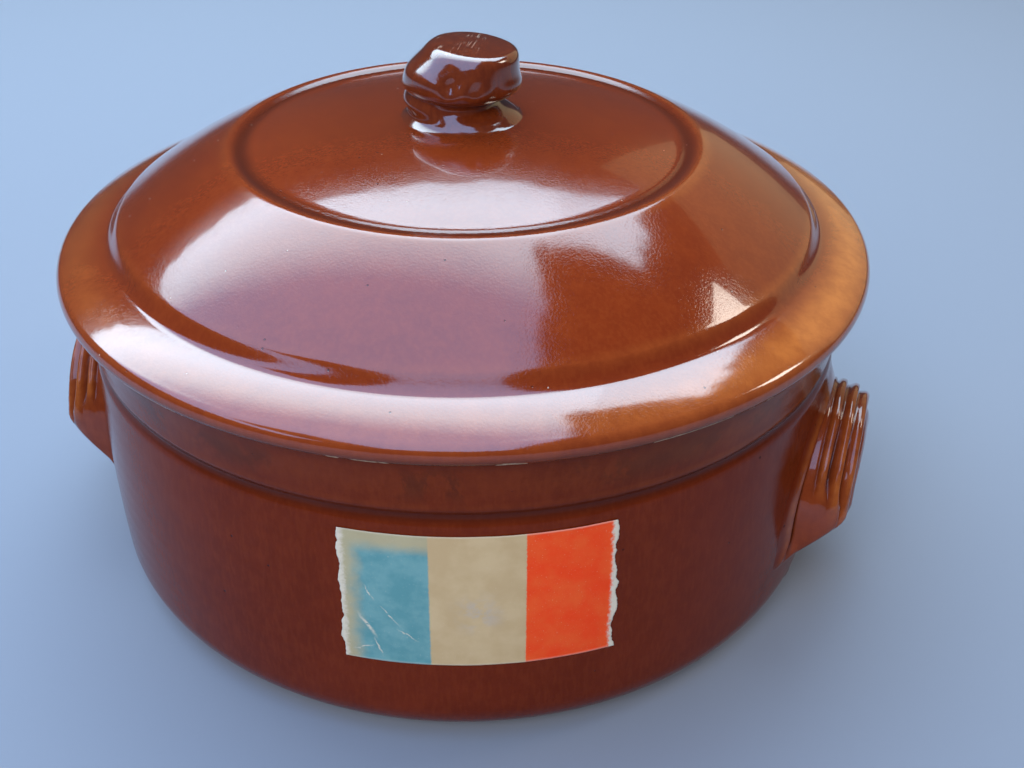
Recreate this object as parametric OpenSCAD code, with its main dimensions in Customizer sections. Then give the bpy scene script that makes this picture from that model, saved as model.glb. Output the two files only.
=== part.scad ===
// Round lidded terrine in glazed stoneware.
// A straight-sided pot with a soft shoulder line, two arched ribbed handles laid on the wall,
// a stepped dome lid with a flange that rests on the rim, a knob and a paper label.
// The origin is the centre of the base, +Z is up and the front faces -Y.

/* [Pot] */
// Height of the pot up to the rim that carries the lid
pot_h = 97.5; // [85:0.5:125]
// Radius of the belly at its widest
belly_r = 115.5; // [100:0.5:140]
// Height of the widest place of the belly
belly_z = 34; // [24:1:46]
// Radius of the slow curve of the side, seen in section
side_curve = 534; // [400:10:900]
// Rounding between the side and the base
base_round = 14; // [8:0.5:20]
// Thickness of the wall
wall = 7; // [5:0.5:9]
// Thickness of the floor
floor_t = 8; // [6:0.5:12]
// Height of the collar between the shoulder line and the rim
collar_h = 19.5; // [14:0.5:26]
// Depth of the soft groove at the shoulder
shoulder_d = 0.9; // [0.4:0.1:1.6]
// Height of the soft groove at the shoulder
shoulder_h = 6; // [4:0.5:10]
// How far the rim stands out past the side of the shoulder
rim_flare = 2.9; // [1:0.1:5]
// Width of the flat rim
rim_w = 11.5; // [9:0.5:14]
// Height of the thick rim inside the mouth
rim_h = 14; // [10:0.5:20]
// Rounding of the rim's edges
rim_round = 1.5; // [0.5:0.1:2.5]

/* [Handles] */
// Gap between the top of a handle's arch and the shoulder line
lug_gap = 11.5; // [4:0.5:16]
// Half the width of the arch, measured to its outer side
arch_r = 30; // [26:0.5:36]
// Thickness of the strap that forms the arch
strap_w = 17; // [13:0.5:20]
// How far the strap stands out from the belly
strap_out = 13; // [11:0.5:16]
// Width of the strap's plain band beside the wall
strap_side = 2.5; // [1:0.5:6]
// Number of ribs along the strap
strap_ribs = 8; // [6:1:10]
// Depth of the grooves between the ribs
rib_d = 1.4; // [0.8:0.1:2]
// Height above the base where the strap's feet fade into the wall
foot_low = 16; // [12:0.5:24]
// Height over which the feet taper
foot_taper = 38; // [24:1:44]
// Height of the smooth feet, where the ribs have been pressed flat
foot_smooth = 19; // [8:0.5:20]
// Angle by which each handle sits towards the front, in degrees
lug_forward = 8; // [0:1:20]
// Seam between a handle and the wall
lug_seam = 0.2; // [0.1:0.05:0.4]

/* [Lid] */
// How far the flange stands out past the rim
flange_over = 4.1; // [1.5:0.1:6]
// Thickness of the flange at its edge
flange_t = 6.6; // [5:0.2:9]
// Slope of the flange, in degrees
flange_slope = 19; // [10:1:24]
// Radius of the line where the dome meets the flange
foot_r = 105; // [100:0.5:108]
// Rounding of the hollow at the foot of the dome
foot_hollow = 3; // [2:0.2:5]
// Radius of the dome's curve
dome_curve = 177; // [160:1:220]
// Radius of the ring groove on the dome
step_r = 65; // [50:0.2:76]
// Depth of the ring groove below the outer band
step_d = 1.8; // [1.2:0.1:3]
// Half the width of the ring groove
step_w = 2.6; // [2:0.1:4]
// Height of the inner cap's edge above the bottom of the ring groove
cap_lip = 0.6; // [0.3:0.1:1.2]
// Radius of the inner cap's curve
cap_curve = 270; // [230:1:340]
// Thickness of the lid
lid_t = 7; // [5:0.5:9]
// Depth of the ring that sits in the mouth
ring_h = 6; // [4:0.5:9]
// Thickness of the ring that sits in the mouth
ring_t = 6.5; // [4:0.5:8]
// Clearance between the ring and the mouth
ring_gap = 1.5; // [0.8:0.1:2.5]

/* [Knob] */
// Radius of the knob's head at its widest
head_r = 17.5; // [13:0.25:21]
// Height of the knob's head
head_h = 13.5; // [10:0.25:16]
// Rounding of the head's upper edge
head_round = 2.6; // [1.5:0.1:4]
// Rounding of the head's lower edge
head_under = 4.2; // [2:0.1:5]
// Taper of the head's side towards the top, in degrees
head_taper = 17; // [0:1:24]
// Rise of the slightly domed top
head_crown = 0.6; // [0.3:0.1:1.6]
// Lean of the head, in degrees
head_lean = 4; // [0:0.5:6]
// Radius of the knob's neck
neck_r = 12.5; // [10:0.25:15]
// Sideways shift of the neck under the head
neck_shift = 1.6; // [0:0.1:3]
// Height of the neck with its flared foot
neck_h = 7.2; // [6:0.2:12]
// Radius of the flared foot on the lid
knob_foot_r = 18; // [15:0.1:20]
// Thickness of the foot's edge
knob_foot_t = 0.9; // [0.6:0.1:2.5]

/* [Label] */
// Width of the label along the belly
label_w = 73; // [50:1:100]
// Height of the label
label_h = 42; // [30:1:44]
// Gap between the label's upper edge and the shoulder line
label_gap = 5; // [4:0.5:12]
// Thickness of the paper
label_t = 0.3; // [0.2:0.05:0.6]
// Paste between the paper and the glaze
label_paste = 0.1; // [0.05:0.05:0.2]
// Turn of the label from the front, in degrees
label_turn = 14.5; // [-20:0.5:20]

/* [Hidden] */
$fn = 96;
side_steps = 14;
bend_steps = 8;
glaze = "#6b2f17";
glaze_light = "#8a4a1c";
paper = "#d9cda4";

// Pot
shoulder_z = pot_h - collar_h;
rim_r = side_r(shoulder_z) + rim_flare;
mouth_r = rim_r - rim_w;
inner_r = belly_r - wall;
inner_round = base_round;
flare_bend = 1.6;
rim_under = 2;
edge_turn = 60;

// Lid
flange_r = rim_r + flange_over;
flange_bead = flange_t / 2;
flange_top = pot_h + flange_t;
foot_z = flange_top + (flange_r - flange_bead - foot_r) * tan(flange_slope);
dome_z = foot_z + foot_hollow - sqrt(pow(dome_curve, 2) - pow(foot_r - foot_hollow / 2, 2));
hollow_turn = 30;
ring_r = mouth_r - ring_gap;
step_out = step_r + step_w;
step_in = step_r - step_w;
step_bottom = dome_height(step_out) - step_d;
cap_z = step_bottom + cap_lip - sqrt(pow(cap_curve, 2) - pow(step_in, 2));
knob_z = cap_z + sqrt(pow(cap_curve, 2) - pow(knob_foot_r, 2));
under_curve = dome_curve - lid_t;
under_top = min(dome_z + under_curve, knob_z - lid_t);

// Handles
lug_top = shoulder_z - lug_gap;
rib_steps = 7 * strap_ribs;
strap_root = 8;
lug_core = belly_r - 2 * strap_root;
lug_sweep = 90;
arch_mid = arch_r - strap_w / 2;

// Label
label_z = shoulder_z - label_gap - label_h;

// Points along an arc in the section plane, from angle a to angle b
function arc(r, z, radius, a, b, steps) =
    [for (i = [0 : steps]) let (t = a + (b - a) * i / steps) [r + radius * cos(t), z + radius * sin(t)]];
// Radius of the pot's side at height z
function side_r(z) = belly_r - side_curve + sqrt(pow(side_curve, 2) - pow(z - belly_z, 2));
// Height of the dome's outer band at radius r
function dome_height(r) = dome_z + sqrt(pow(dome_curve, 2) - pow(r, 2));
// Height of the inner cap at radius r
function cap_height(r) = cap_z + sqrt(pow(cap_curve, 2) - pow(r, 2));
// Height of the hollow under the dome at radius r
function under_height(r) = min(under_top, dome_z + sqrt(pow(under_curve, 2) - pow(r, 2)));
// Radius of the pot's outside with the shoulder groove, up to the rim
function wall_r(z) =
    let (from_groove = abs(z - shoulder_z) / (shoulder_h / 2),
         groove = from_groove < 1 ? shoulder_d * (1 + cos(180 * from_groove)) / 2 : 0,
         up = max(0, (z - shoulder_z) / collar_h))
    side_r(min(z, shoulder_z)) + rim_flare * pow(up, flare_bend) - groove;

// Outline of the pot's outside, from the base to the rim
function pot_outside() = concat(
    arc(side_r(base_round) - base_round, base_round, base_round, -90, 0, bend_steps),
    [for (i = [1 : side_steps])
        let (z = base_round + (shoulder_z - shoulder_h / 2 - base_round) * i / side_steps) [wall_r(z), z]],
    [for (i = [1 : bend_steps]) let (z = shoulder_z + shoulder_h * (i / bend_steps - 0.5)) [wall_r(z), z]],
    [for (i = [1 : bend_steps])
        let (low = shoulder_z + shoulder_h / 2, z = low + (pot_h - rim_round - low) * i / bend_steps)
        [wall_r(z), z]],
    arc(rim_r - rim_round, pot_h - rim_round, rim_round, 90 - edge_turn, 90, bend_steps / 2));

// Outline of the pot's inside, from the rim to the floor
function pot_inside() = concat(
    arc(mouth_r + rim_round, pot_h - rim_round, rim_round, 90, 180, bend_steps / 2),
    [[mouth_r, pot_h - rim_h]],
    [[inner_r, pot_h - rim_h - (inner_r - mouth_r) * rim_under]],
    arc(inner_r - inner_round, floor_t + inner_round, inner_round, 0, -90, bend_steps));

module pot() {
    color(glaze)
        rotate_extrude()
            polygon(concat([[0, 0]], pot_outside(), pot_inside(), [[0, floor_t]]));
}

// Section across a handle's strap: a plain band beside the wall and a rounded face with grooves of depth d
// u runs across the strap, v runs out from the belly
function strap_section(d) = concat(
    [[strap_w / 2, -strap_root]],
    [for (i = [0 : rib_steps])
        let (t = 180 * i / rib_steps,
             swell = 1 - d / (strap_w / 2) * (1 - abs(sin(strap_ribs * t))))
        [strap_w / 2 * cos(t) * swell, strap_side + (strap_out - strap_side) * sin(t) * swell]],
    [[-strap_w / 2, -strap_root]]);

// Reach of a handle at height z: the feet taper smoothly into the wall
function reach(z) =
    let (t = min(1, max(0, (z - foot_low) / foot_taper)))
    side_r(z) + (strap_out + strap_root) * t * t * (3 - 2 * t);

// Upright leg of a handle's strap, with grooves of depth d
module lug_leg(side, h, d) {
    linear_extrude(h)
        polygon([for (p = strap_section(d)) [p[1], side * (arch_mid + p[0])]]);
}

// Handle on the +X side: a ribbed strap laid on the wall as an arch, with smooth feet
module lug() {
    leg_h = lug_top - arch_r - foot_low;
    color(glaze_light)
        difference() {
            intersection() {
                translate([belly_r, 0, foot_low])
                    union() {
                        translate([0, 0, leg_h])
                            rotate([0, 90, 0])
                                rotate([0, 0, 90])
                                    rotate_extrude(angle = 180)
                                        polygon([for (p = strap_section(rib_d)) [arch_mid + p[0], p[1]]]);
                        for (side = [-1, 1]) {
                            lug_leg(side, leg_h, rib_d);
                            lug_leg(side, foot_smooth, 0);
                        }
                    }
                rotate([0, 0, -lug_sweep / 2])
                    rotate_extrude(angle = lug_sweep)
                        polygon(concat(
                            [[lug_core, foot_low]],
                            [for (i = [0 : side_steps])
                                let (z = foot_low + foot_taper * i / side_steps) [reach(z), z]],
                            [[reach(lug_top), lug_top]],
                            [[lug_core, lug_top]]));
            }
            rotate_extrude()
                polygon(concat([[0, 0]], [for (p = pot_outside()) [p[0] + lug_seam, p[1]]], [[0, pot_h]]));
        }
}

module right_handle() {
    rotate([0, 0, -lug_forward])
        lug();
}

module left_handle() {
    rotate([0, 0, 180 + lug_forward])
        lug();
}

// Outline of the lid's top, from the flange's edge to the foot of the knob
function lid_outside() = concat(
    arc(flange_r - flange_bead, pot_h + flange_bead, flange_bead, -edge_turn, 90 - flange_slope, bend_steps),
    arc(foot_r + foot_hollow * sin(flange_slope), foot_z + foot_hollow * cos(flange_slope), foot_hollow,
        -90 - flange_slope, -90 - hollow_turn, bend_steps / 2),
    [for (i = [0 : side_steps])
        let (start = foot_r - foot_hollow / 2, r = start + (step_out - start) * i / side_steps)
        [r, dome_height(r)]],
    [for (i = [1 : bend_steps])
        let (t = i / bend_steps, r = step_out - 2 * step_w * t, fall = (1 + cos(180 * min(1, 2 * t))) / 2,
             lift = (1 - cos(180 * max(0, 2 * t - 1))) / 2)
        [r, step_bottom + step_d * fall + cap_lip * lift]],
    [for (i = [1 : side_steps])
        let (r = step_in + (knob_foot_r - step_in) * i / side_steps) [r, cap_height(r)]]);

// Outline of the lid's underside, from the axis to the flat seat on the rim
function lid_underside() = concat(
    [for (i = [0 : side_steps]) let (r = (ring_r - ring_t) * i / side_steps) [r, under_height(r)]],
    [[ring_r - ring_t, pot_h - ring_h + rim_round]],
    arc(ring_r - ring_t + rim_round, pot_h - ring_h + rim_round, rim_round, 180, 270, bend_steps / 2),
    arc(ring_r - rim_round, pot_h - ring_h + rim_round, rim_round, -90, 0, bend_steps / 2),
    [[ring_r, pot_h]]);

module lid() {
    color(glaze_light)
        rotate_extrude()
            polygon(concat([[0, knob_z]], lid_underside(), lid_outside()));
}

module lid_knob() {
    head_z = knob_z + neck_h;
    side_h = head_h - head_round - head_under;
    crown_r = head_r - head_under
        + (head_under - head_round - side_h * sin(head_taper)) / cos(head_taper);
    crown_curve = (pow(crown_r, 2) + pow(head_crown, 2)) / (2 * head_crown);
    crown_z = head_h + head_crown - crown_curve;
    hollow = knob_foot_r - neck_r;
    color(glaze)
        union() {
            // Flared foot and neck
            rotate_extrude()
                polygon(concat(
                    [[0, knob_z]],
                    [[knob_foot_r, knob_z]],
                    arc(knob_foot_r, knob_z + knob_foot_t + hollow, hollow, 270, 180, bend_steps),
                    [[neck_r, head_z]],
                    [[0, head_z]]));
            translate([-neck_shift, 0, knob_z])
                cylinder(r = neck_r, h = neck_h + head_under);
            // Drum-shaped head with a slightly domed top
            translate([0, 0, head_z])
                rotate([0, head_lean, 0])
                    rotate_extrude()
                        polygon(concat(
                            [[0, 0]],
                            arc(head_r - head_under, head_under, head_under, -90, head_taper, bend_steps),
                            arc(crown_r, head_h - head_round, head_round, head_taper, 90, bend_steps),
                            [for (i = [1 : bend_steps])
                                let (r = crown_r * (1 - i / bend_steps))
                                [r, crown_z + sqrt(pow(crown_curve, 2) - pow(r, 2))]]));
        }
}

module paper_label() {
    half_turn = label_w / belly_r / PI * 90;
    heights = [for (i = [0 : side_steps]) label_z + label_h * i / side_steps];
    color(paper)
        rotate([0, 0, -90 + label_turn - half_turn])
            rotate_extrude(angle = 2 * half_turn)
                polygon(concat(
                    [for (z = heights) [side_r(z) + label_paste + label_t, z]],
                    [for (i = [side_steps : -1 : 0]) [side_r(heights[i]) + label_paste, heights[i]]]));
}

pot();
left_handle();
right_handle();
lid();
lid_knob();
paper_label();
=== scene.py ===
from math import asin, atan2, cos, degrees, exp, hypot, pi, radians, sin, sqrt, tan

import bmesh
import bpy
from mathutils import Matrix, Vector, noise


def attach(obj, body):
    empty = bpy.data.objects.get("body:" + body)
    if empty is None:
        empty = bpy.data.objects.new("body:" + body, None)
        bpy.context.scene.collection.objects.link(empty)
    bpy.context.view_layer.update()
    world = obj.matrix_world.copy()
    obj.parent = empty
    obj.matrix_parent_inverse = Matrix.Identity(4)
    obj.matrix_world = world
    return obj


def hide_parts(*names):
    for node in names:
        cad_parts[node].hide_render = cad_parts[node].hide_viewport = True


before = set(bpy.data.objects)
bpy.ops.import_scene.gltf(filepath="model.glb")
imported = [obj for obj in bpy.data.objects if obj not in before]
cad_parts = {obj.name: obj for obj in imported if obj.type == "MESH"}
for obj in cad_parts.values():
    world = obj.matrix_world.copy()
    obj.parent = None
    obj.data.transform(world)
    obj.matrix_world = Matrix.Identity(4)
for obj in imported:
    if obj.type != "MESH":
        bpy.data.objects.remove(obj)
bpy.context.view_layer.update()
mm = 0.001  # the sizes below are in millimetres
print("frame loaded:", ", ".join(sorted(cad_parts)))


def partWay(start, end, share):
    return start + (end - start) * share


def smoothStep(low, high, value):
    t = min(1, max(0, (value - low) / (high - low)))
    return t * t * (3 - 2 * t)


def wobble(seed, *place):
    # slow random curve between -1 and 1, the same on every run
    x, y, z = (list(place) + [0, 0])[:3]
    return noise.noise(Vector((x + seed * 17.3, y - seed * 5.1, z + seed * 3.7)))


class Wire:
    # a shader socket that takes part in Python sums
    def __init__(self, tree, socket=None):
        self.tree = tree
        self.socket = socket

    def node(self, kind, settings=None, values=None, out=0):
        made = self.tree.nodes.new(kind)
        for name, value in (settings or {}).items():
            if name == "stops":  # places and colours of a ramp
                ramp = made.color_ramp.elements
                while len(ramp) < len(value):
                    ramp.new(0.5)
                for stop, (place, colour) in zip(ramp, value):
                    stop.position = place
                    stop.color = (*colour, 1.0)
            else:
                setattr(made, name, value)
        for key, value in (values or {}).items():
            if isinstance(value, Wire):
                self.tree.links.new(value.socket, made.inputs[key])
            else:
                made.inputs[key].default_value = value
        return Wire(self.tree, made.outputs[out] if len(made.outputs) else None)

    def maths(self, operation, first, second=0.0):
        return self.node("ShaderNodeMath", {"operation": operation}, {0: first, 1: second})

    def __add__(self, other): return self.maths("ADD", self, other)
    def __radd__(self, other): return self.maths("ADD", other, self)
    def __sub__(self, other): return self.maths("SUBTRACT", self, other)
    def __rsub__(self, other): return self.maths("SUBTRACT", other, self)
    def __mul__(self, other): return self.maths("MULTIPLY", self, other)
    def __rmul__(self, other): return self.maths("MULTIPLY", other, self)
    def __truediv__(self, other): return self.maths("DIVIDE", self, other)
    def __rtruediv__(self, other): return self.maths("DIVIDE", other, self)
    def __abs__(self): return self.maths("ABSOLUTE", self)
    def most(self, other): return self.maths("MAXIMUM", self, other)

    def output(self, key):
        # another output of the same node
        return Wire(self.tree, self.socket.node.outputs[key])

    def between(self, low, high):
        # soft step from 0 at low to 1 at high
        return self.node("ShaderNodeMapRange", {"interpolation_type": "SMOOTHSTEP"},
                         {0: self, 1: low, 2: high, 3: 0.0, 4: 1.0})

    def past(self, low, soft):
        # the same step by its start and its width
        return self.between(low, low + soft)

    def band(self, middle, half):
        # soft stripe, 1 at middle and 0 past half
        return 1 - abs(self - middle).between(0.0, half)

    def cloud(self, scale, detail=3.0, rough=0.55, warp=0.0):
        # noise over this place
        return self.node("ShaderNodeTexNoise", {}, {"Vector": self, "Scale": scale, "Detail": detail,
                                                    "Roughness": rough, "Distortion": warp}, out="Fac")

    def plain(self, colour):
        # one colour to mix others into
        made = self.node("ShaderNodeRGB")
        made.socket.default_value = (*colour, 1.0)
        return made

    def tint(self, other, share):
        # this colour with a share of another one, a wire or three numbers
        other = other if isinstance(other, Wire) else (*other, 1.0)
        return self.node("ShaderNodeMix", {"data_type": "RGBA"}, {0: share, 6: self, 7: other}, out=2)


def newMaterial(name):
    material = bpy.data.materials.new(name)
    material.use_nodes = True
    material.node_tree.nodes.clear()
    return material, Wire(material.node_tree)


def finishMaterial(start, values):
    shader = start.node("ShaderNodeBsdfPrincipled", {}, values)
    start.node("ShaderNodeOutputMaterial", {}, {"Surface": shader})


# Brown glaze: tone drifts, darker pools in the grooves and painted shade in joints and crevices, thin amber
# on the edges with painted warm light stronger on one side, pinholes and bare clay.
# A noise is scale, detail, roughness and warp; a step is where it starts and where it is full.
glazeGrain = {
    "drift": (16.0, 4.0, 0.6, 0.4), "driftStep": (0.25, 0.75), "driftShare": 0.6,
    "mottle": (170.0, 4.0, 0.7), "mottleStep": (0.36, 0.66), "mottleShare": 0.4,
    "streak": (800.0, 3.0, 0.5), "streakStep": (0.42, 0.66), "streakSquash": (1.0, 1.0, 0.25),
    "patch": (24.0, 5.0, 0.65, 1.2), "patchStep": (0.50, 0.56),
    "sideStep": (5.0, 112.0), "sideLeast": 0.25, "edgeMottle": 0.3, "ribMottle": 0.6,
    "scratch": (420.0, 1.0, 0.5), "scratchTurns": (0.4, 1.9), "scratchSquash": (1.0, 0.08, 0.3),
    "scratchLine": (0.002, 0.010), "scratchPlaces": (120.0, 3.0), "scratchStep": (0.46, 0.60),
    "scratchShare": 0.6, "scratchFade": 0.8,
    "pinStep": (0.035, 0.085), "pinShare": 0.8, "fleckStep": (0.03, 0.07), "fleckShare": 0.75,
    "fleckHigh": 0.5, "chanceSoft": 0.02,
    "ragged": (260.0, 4.0, 0.7), "bareSoft": 0.4, "bareSideSoft": 0.3, "chip": (45.0, 4.0, 0.6),
    "chipSoft": 0.03, "clay": (0.36, 0.23, 0.13), "paleClay": (0.55, 0.40, 0.26),
    "clayNoise": (500.0, 5.0, 0.7), "clayStep": (0.35, 0.65), "clayRough": 0.8,
    "scuff": (90.0, 5.0, 0.75), "scuffStep": (0.45, 0.75), "scuffRough": 0.03, "mottleRough": 0.015,
    "poolDull": 0.9, "peel": (1500.0, 2.0, 0.5), "lump": (90.0, 2.0, 0.4), "ringSway": (30.0, 3.0),
    "ringSwing": 3.0, "grain": (1500.0, 2.0, 0.6), "grainHigh": 0.01, "bump": 0.0002}


def glazeMaterial(name, look):
    g = glazeGrain
    material, start = newMaterial(name)
    place = start.node("ShaderNodeTexCoord", out="Object")
    x = start.node("ShaderNodeSeparateXYZ", {}, {0: place})
    y = x.output(1)
    z = x.output(2) / mm
    r = start.maths("SQRT", x * x + y * y) / mm

    def stripes(rows):
        # the strongest of some soft stripes by height or radius
        strongest = None
        for axis, middle, half, share in rows:
            stripe = (z if axis == "z" else r).band(middle, half) * share
            strongest = strongest.most(stripe) if strongest else stripe
        return strongest

    def painted(layer):
        return start.node("ShaderNodeAttribute", {"attribute_name": layer}, out="Fac")

    # glaze colour
    drift = place.cloud(*g["drift"]).between(*g["driftStep"])
    mottle = place.cloud(*g["mottle"]).between(*g["mottleStep"])
    upright = start.node("ShaderNodeMapping", {}, {"Vector": place, "Scale": g["streakSquash"]})
    streak = upright.cloud(*g["streak"]).between(*g["streakStep"])
    colour = start.plain(look["deep"])
    colour = colour.tint(look["warm"], drift * g["driftShare"] + mottle * g["mottleShare"])
    colour = colour.tint(look["ember"], streak * look["freckle"])
    # darker stripes: glaze pooled in grooves, and painted shade in joints under an overhang
    pool = stripes(look["poolsAndShade"])
    if pool:
        colour = colour.tint(look["pool"], pool)
    patches = stripes(look["patches"])
    if patches:  # darker blotches on the collar under the lid
        colour = colour.tint(look["pool"], patches * place.cloud(*g["patch"]).between(*g["patchStep"]))
    thin = stripes(look["edges"])
    if thin:  # amber where the glaze runs thin, stronger towards one side as painted warm light
        side = radians(look["litSide"])
        towardsLitSide = ((x * cos(side) + y * sin(side)) / mm).between(*g["sideStep"])
        thin = thin * (1 - g["edgeMottle"] + mottle * g["edgeMottle"])
        thin = thin * (g["sideLeast"] + (1 - g["sideLeast"]) * towardsLitSide)
        colour = colour.tint(look["amber"], thin)
    if look["handMade"]:  # painted on while the piece is shaped
        colour = colour.tint(look["amber"], painted("thin") * (1 - g["ribMottle"] + mottle * g["ribMottle"]))
        colour = colour.tint(look["pool"], painted("pool"))
        colour = colour.tint(look["wall"], painted("wallTone"))
    if look["wornAbove"]:  # fine scratches where a hand or a shelf rubs
        for turn in g["scratchTurns"]:
            along = start.node("ShaderNodeMapping", {}, {"Vector": place, "Rotation": (0, 0, turn),
                                                         "Scale": g["scratchSquash"]})
            line = 1 - abs(along.cloud(*g["scratch"]) - 0.5).between(*g["scratchLine"])
            line = line * place.cloud(*g["scratchPlaces"]).between(*g["scratchStep"])
            line = line * z.past(look["wornAbove"], g["scratchFade"])
            colour = colour.tint(look["fleck"], line * g["scratchShare"])

    # pinholes and pale specks
    cells = start.node("ShaderNodeTexVoronoi", {}, {"Vector": place, "Scale": look["pinScale"]},
                       out="Distance")
    chance = start.node("ShaderNodeSeparateColor", {}, {0: cells.output("Color")})
    pin = (1 - cells.between(*g["pinStep"])) * chance.past(look["pinChance"], g["chanceSoft"])
    fleck = (1 - cells.between(*g["fleckStep"])) * chance.output(1).past(look["fleckChance"], g["chanceSoft"])
    colour = colour.tint(look["pit"], pin * g["pinShare"])
    colour = colour.tint(look["fleck"], fleck * g["fleckShare"])

    # bare clay where the glaze was wiped away
    bare = None
    for axis, low, high, inside, outside, chipped in look["bare"]:
        along, across = (z, r) if axis == "z" else (r, z)
        along = along + (place.cloud(*g["ragged"]) - 0.5) * look["ragged"]
        patch = along.past(low, g["bareSoft"]) * (1 - along.past(high, g["bareSoft"]))
        patch = patch * across.past(inside, g["bareSideSoft"]) * (1 - across.past(outside, g["bareSideSoft"]))
        if chipped:
            patch = patch * place.cloud(*g["chip"]).past(chipped, g["chipSoft"])
        bare = bare.most(patch) if bare else patch
    if bare:
        pale = place.cloud(*g["clayNoise"]).between(*g["clayStep"])
        colour = colour.tint(start.plain(g["clay"]).tint(g["paleClay"], pale), bare)

    # gloss, with a faint orange-peel and the finger rings of the wheel
    scuff = place.cloud(*g["scuff"]).between(*g["scuffStep"])
    roughness = look["gloss"] + scuff * g["scuffRough"] + mottle * g["mottleRough"]
    if bare:
        roughness = roughness * (1 - bare) + bare * g["clayRough"]
    coat = look["coat"]
    if coat:
        if pool:
            coat = (1 - pool * g["poolDull"]) * coat
        if look["dullBelow"]:
            coat = z.between(*look["dullBelow"]) * coat
        if look["glossFrom"]:  # the flange came out glossier than the dome
            coat = (look["innerGloss"] + (1 - look["innerGloss"]) * r.between(*look["glossFrom"])) * coat
        if look["handMade"]:
            coat = (1 - painted("wallTone")) * coat
        if bare:
            coat = (1 - bare) * coat
    rings = start.maths("SINE", z * look["ringPitch"] + place.cloud(*g["ringSway"]) * g["ringSwing"])
    relief = place.cloud(*g["peel"]) * look["peel"] + place.cloud(*g["lump"]) * look["lump"]
    relief = relief + rings * look["rings"] + place.cloud(*g["grain"]) * g["grainHigh"]
    relief = relief - pin * look["pinDepth"] + fleck * (look["pinDepth"] * g["fleckHigh"])
    normal = start.node("ShaderNodeBump", {}, {"Strength": 1.0, "Distance": g["bump"], "Height": relief})
    finishMaterial(start, {"Base Color": colour, "Roughness": roughness, "Normal": normal,
                           "Specular IOR Level": look["shine"], "Coat Weight": coat,
                           "Coat IOR": look["coatIor"], "Coat Roughness": look["coatRough"]})
    return material


# Profile drawn with a moving point, then turned on the wheel; a move ends with its number of edges
class Turning:
    def __init__(self, r, z):
        self.mesh = bmesh.new()
        self.tip = self.mesh.verts.new((r, 0, z))

    def follow(self, curve, steps):
        # curve gives r and z for a share of the way from 0 to 1
        for step in range(1, steps + 1):
            self.tip = bmesh.ops.extrude_vert_indiv(self.mesh, verts=[self.tip])["verts"][0]
            r, z = curve(step / steps)
            self.tip.co = (r, 0, z)

    def line(self, r, z, steps):
        fromR, fromZ = self.tip.co.x, self.tip.co.z
        self.follow(lambda t: (partWay(fromR, r, t), partWay(fromZ, z, t)), steps)

    def arc(self, r, z, turn, steps):
        # turn in degrees about the point r, z, counter-clockwise
        made = bmesh.ops.spin(self.mesh, geom=[self.tip], cent=(r, 0, z), axis=(0, 1, 0),
                              angle=-radians(turn), steps=steps)
        self.tip = [v for v in made["geom_last"] if isinstance(v, bmesh.types.BMVert)][0]

    def turn(self, steps):
        mesh = self.mesh
        bmesh.ops.spin(mesh, geom=mesh.verts[:] + mesh.edges[:], cent=(0, 0, 0), axis=(0, 0, 1),
                       angle=2 * pi, steps=steps, use_merge=True)
        bmesh.ops.remove_doubles(mesh, verts=mesh.verts[:], dist=0.001)
        bmesh.ops.recalc_face_normals(mesh, faces=mesh.faces[:])
        return mesh


def finishPiece(mesh, name, material, body, node):
    bmesh.ops.scale(mesh, vec=(mm, mm, mm), verts=mesh.verts[:])
    data = bpy.data.meshes.new(name)
    mesh.to_mesh(data)
    mesh.free()
    data.materials.append(material)
    data.polygons.foreach_set("use_smooth", [True] * len(data.polygons))
    piece = bpy.data.objects.new(name, data)
    bpy.context.scene.collection.objects.link(piece)
    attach(piece, body)
    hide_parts(node)
    print(name, "made with", len(data.polygons), "faces")
    return piece


# Pot
potSizes = {"height": 97.5, "bellyR": 115.5, "bellyZ": 34, "sideCurve": 534, "baseRound": 14, "wall": 7,
            "floor": 8, "collar": 19.5, "grooveDeep": 0.9, "grooveHigh": 6, "flare": 2.9, "flareBend": 1.6,
            "rimWide": 11.5, "rimHigh": 14, "rimRound": 1.5, "rimRun": 10, "steps": 216}
# pools with painted shade, patches and edges: by height or radius, middle, half width and share
# bare: by height or radius, from and to, from and to the other way, and how rare its chips are
potLook = {"deep": (0.112, 0.0135, 0.0034), "warm": (0.150, 0.020, 0.005), "ember": (0.24, 0.045, 0.011),
           "pool": (0.05, 0.010, 0.005), "amber": (0.36, 0.10, 0.022), "pit": (0.03, 0.008, 0.005),
           "fleck": (0.62, 0.42, 0.30), "freckle": 0.12, "pinScale": 190.0, "pinChance": 0.86,
           # the side angle: where painted warm light makes the amber edges stronger
           "fleckChance": 0.95, "pinDepth": 1.0, "litSide": 14,
           # the stripe at 98 mm is painted shade under the lid's overhang; the one at 78 mm is glaze pooled
           # in the shoulder groove
           "poolsAndShade": [("z", 78, 3.2, 0.7), ("z", 98, 2.0, 0.7)], "patches": [("z", 89, 9, 0.55)],
           "edges": [("z", 81.5, 2.6, 0.3), ("z", 90, 12, 0.35)],
           "bare": [("z", 96.8, 120, 104, 118, 0), ("z", -5, 0.9, 0, 130, 0)], "ragged": 1.6,
           "shine": 0.13, "gloss": 0.10, "coat": 0.0, "coatIor": 1.5, "coatRough": 0.05,
           "dullBelow": None, "glossFrom": None, "peel": 0.22, "lump": 0.5, "ringPitch": 1.1, "rings": 0.04,
           "handMade": False, "wornAbove": None}
shoulderZ = potSizes["height"] - potSizes["collar"]


def sideR(z):
    curve = potSizes["sideCurve"]
    return potSizes["bellyR"] - curve + sqrt(curve ** 2 - (z - potSizes["bellyZ"]) ** 2)


rimR = sideR(shoulderZ) + potSizes["flare"]
mouthR = rimR - potSizes["rimWide"]


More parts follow.
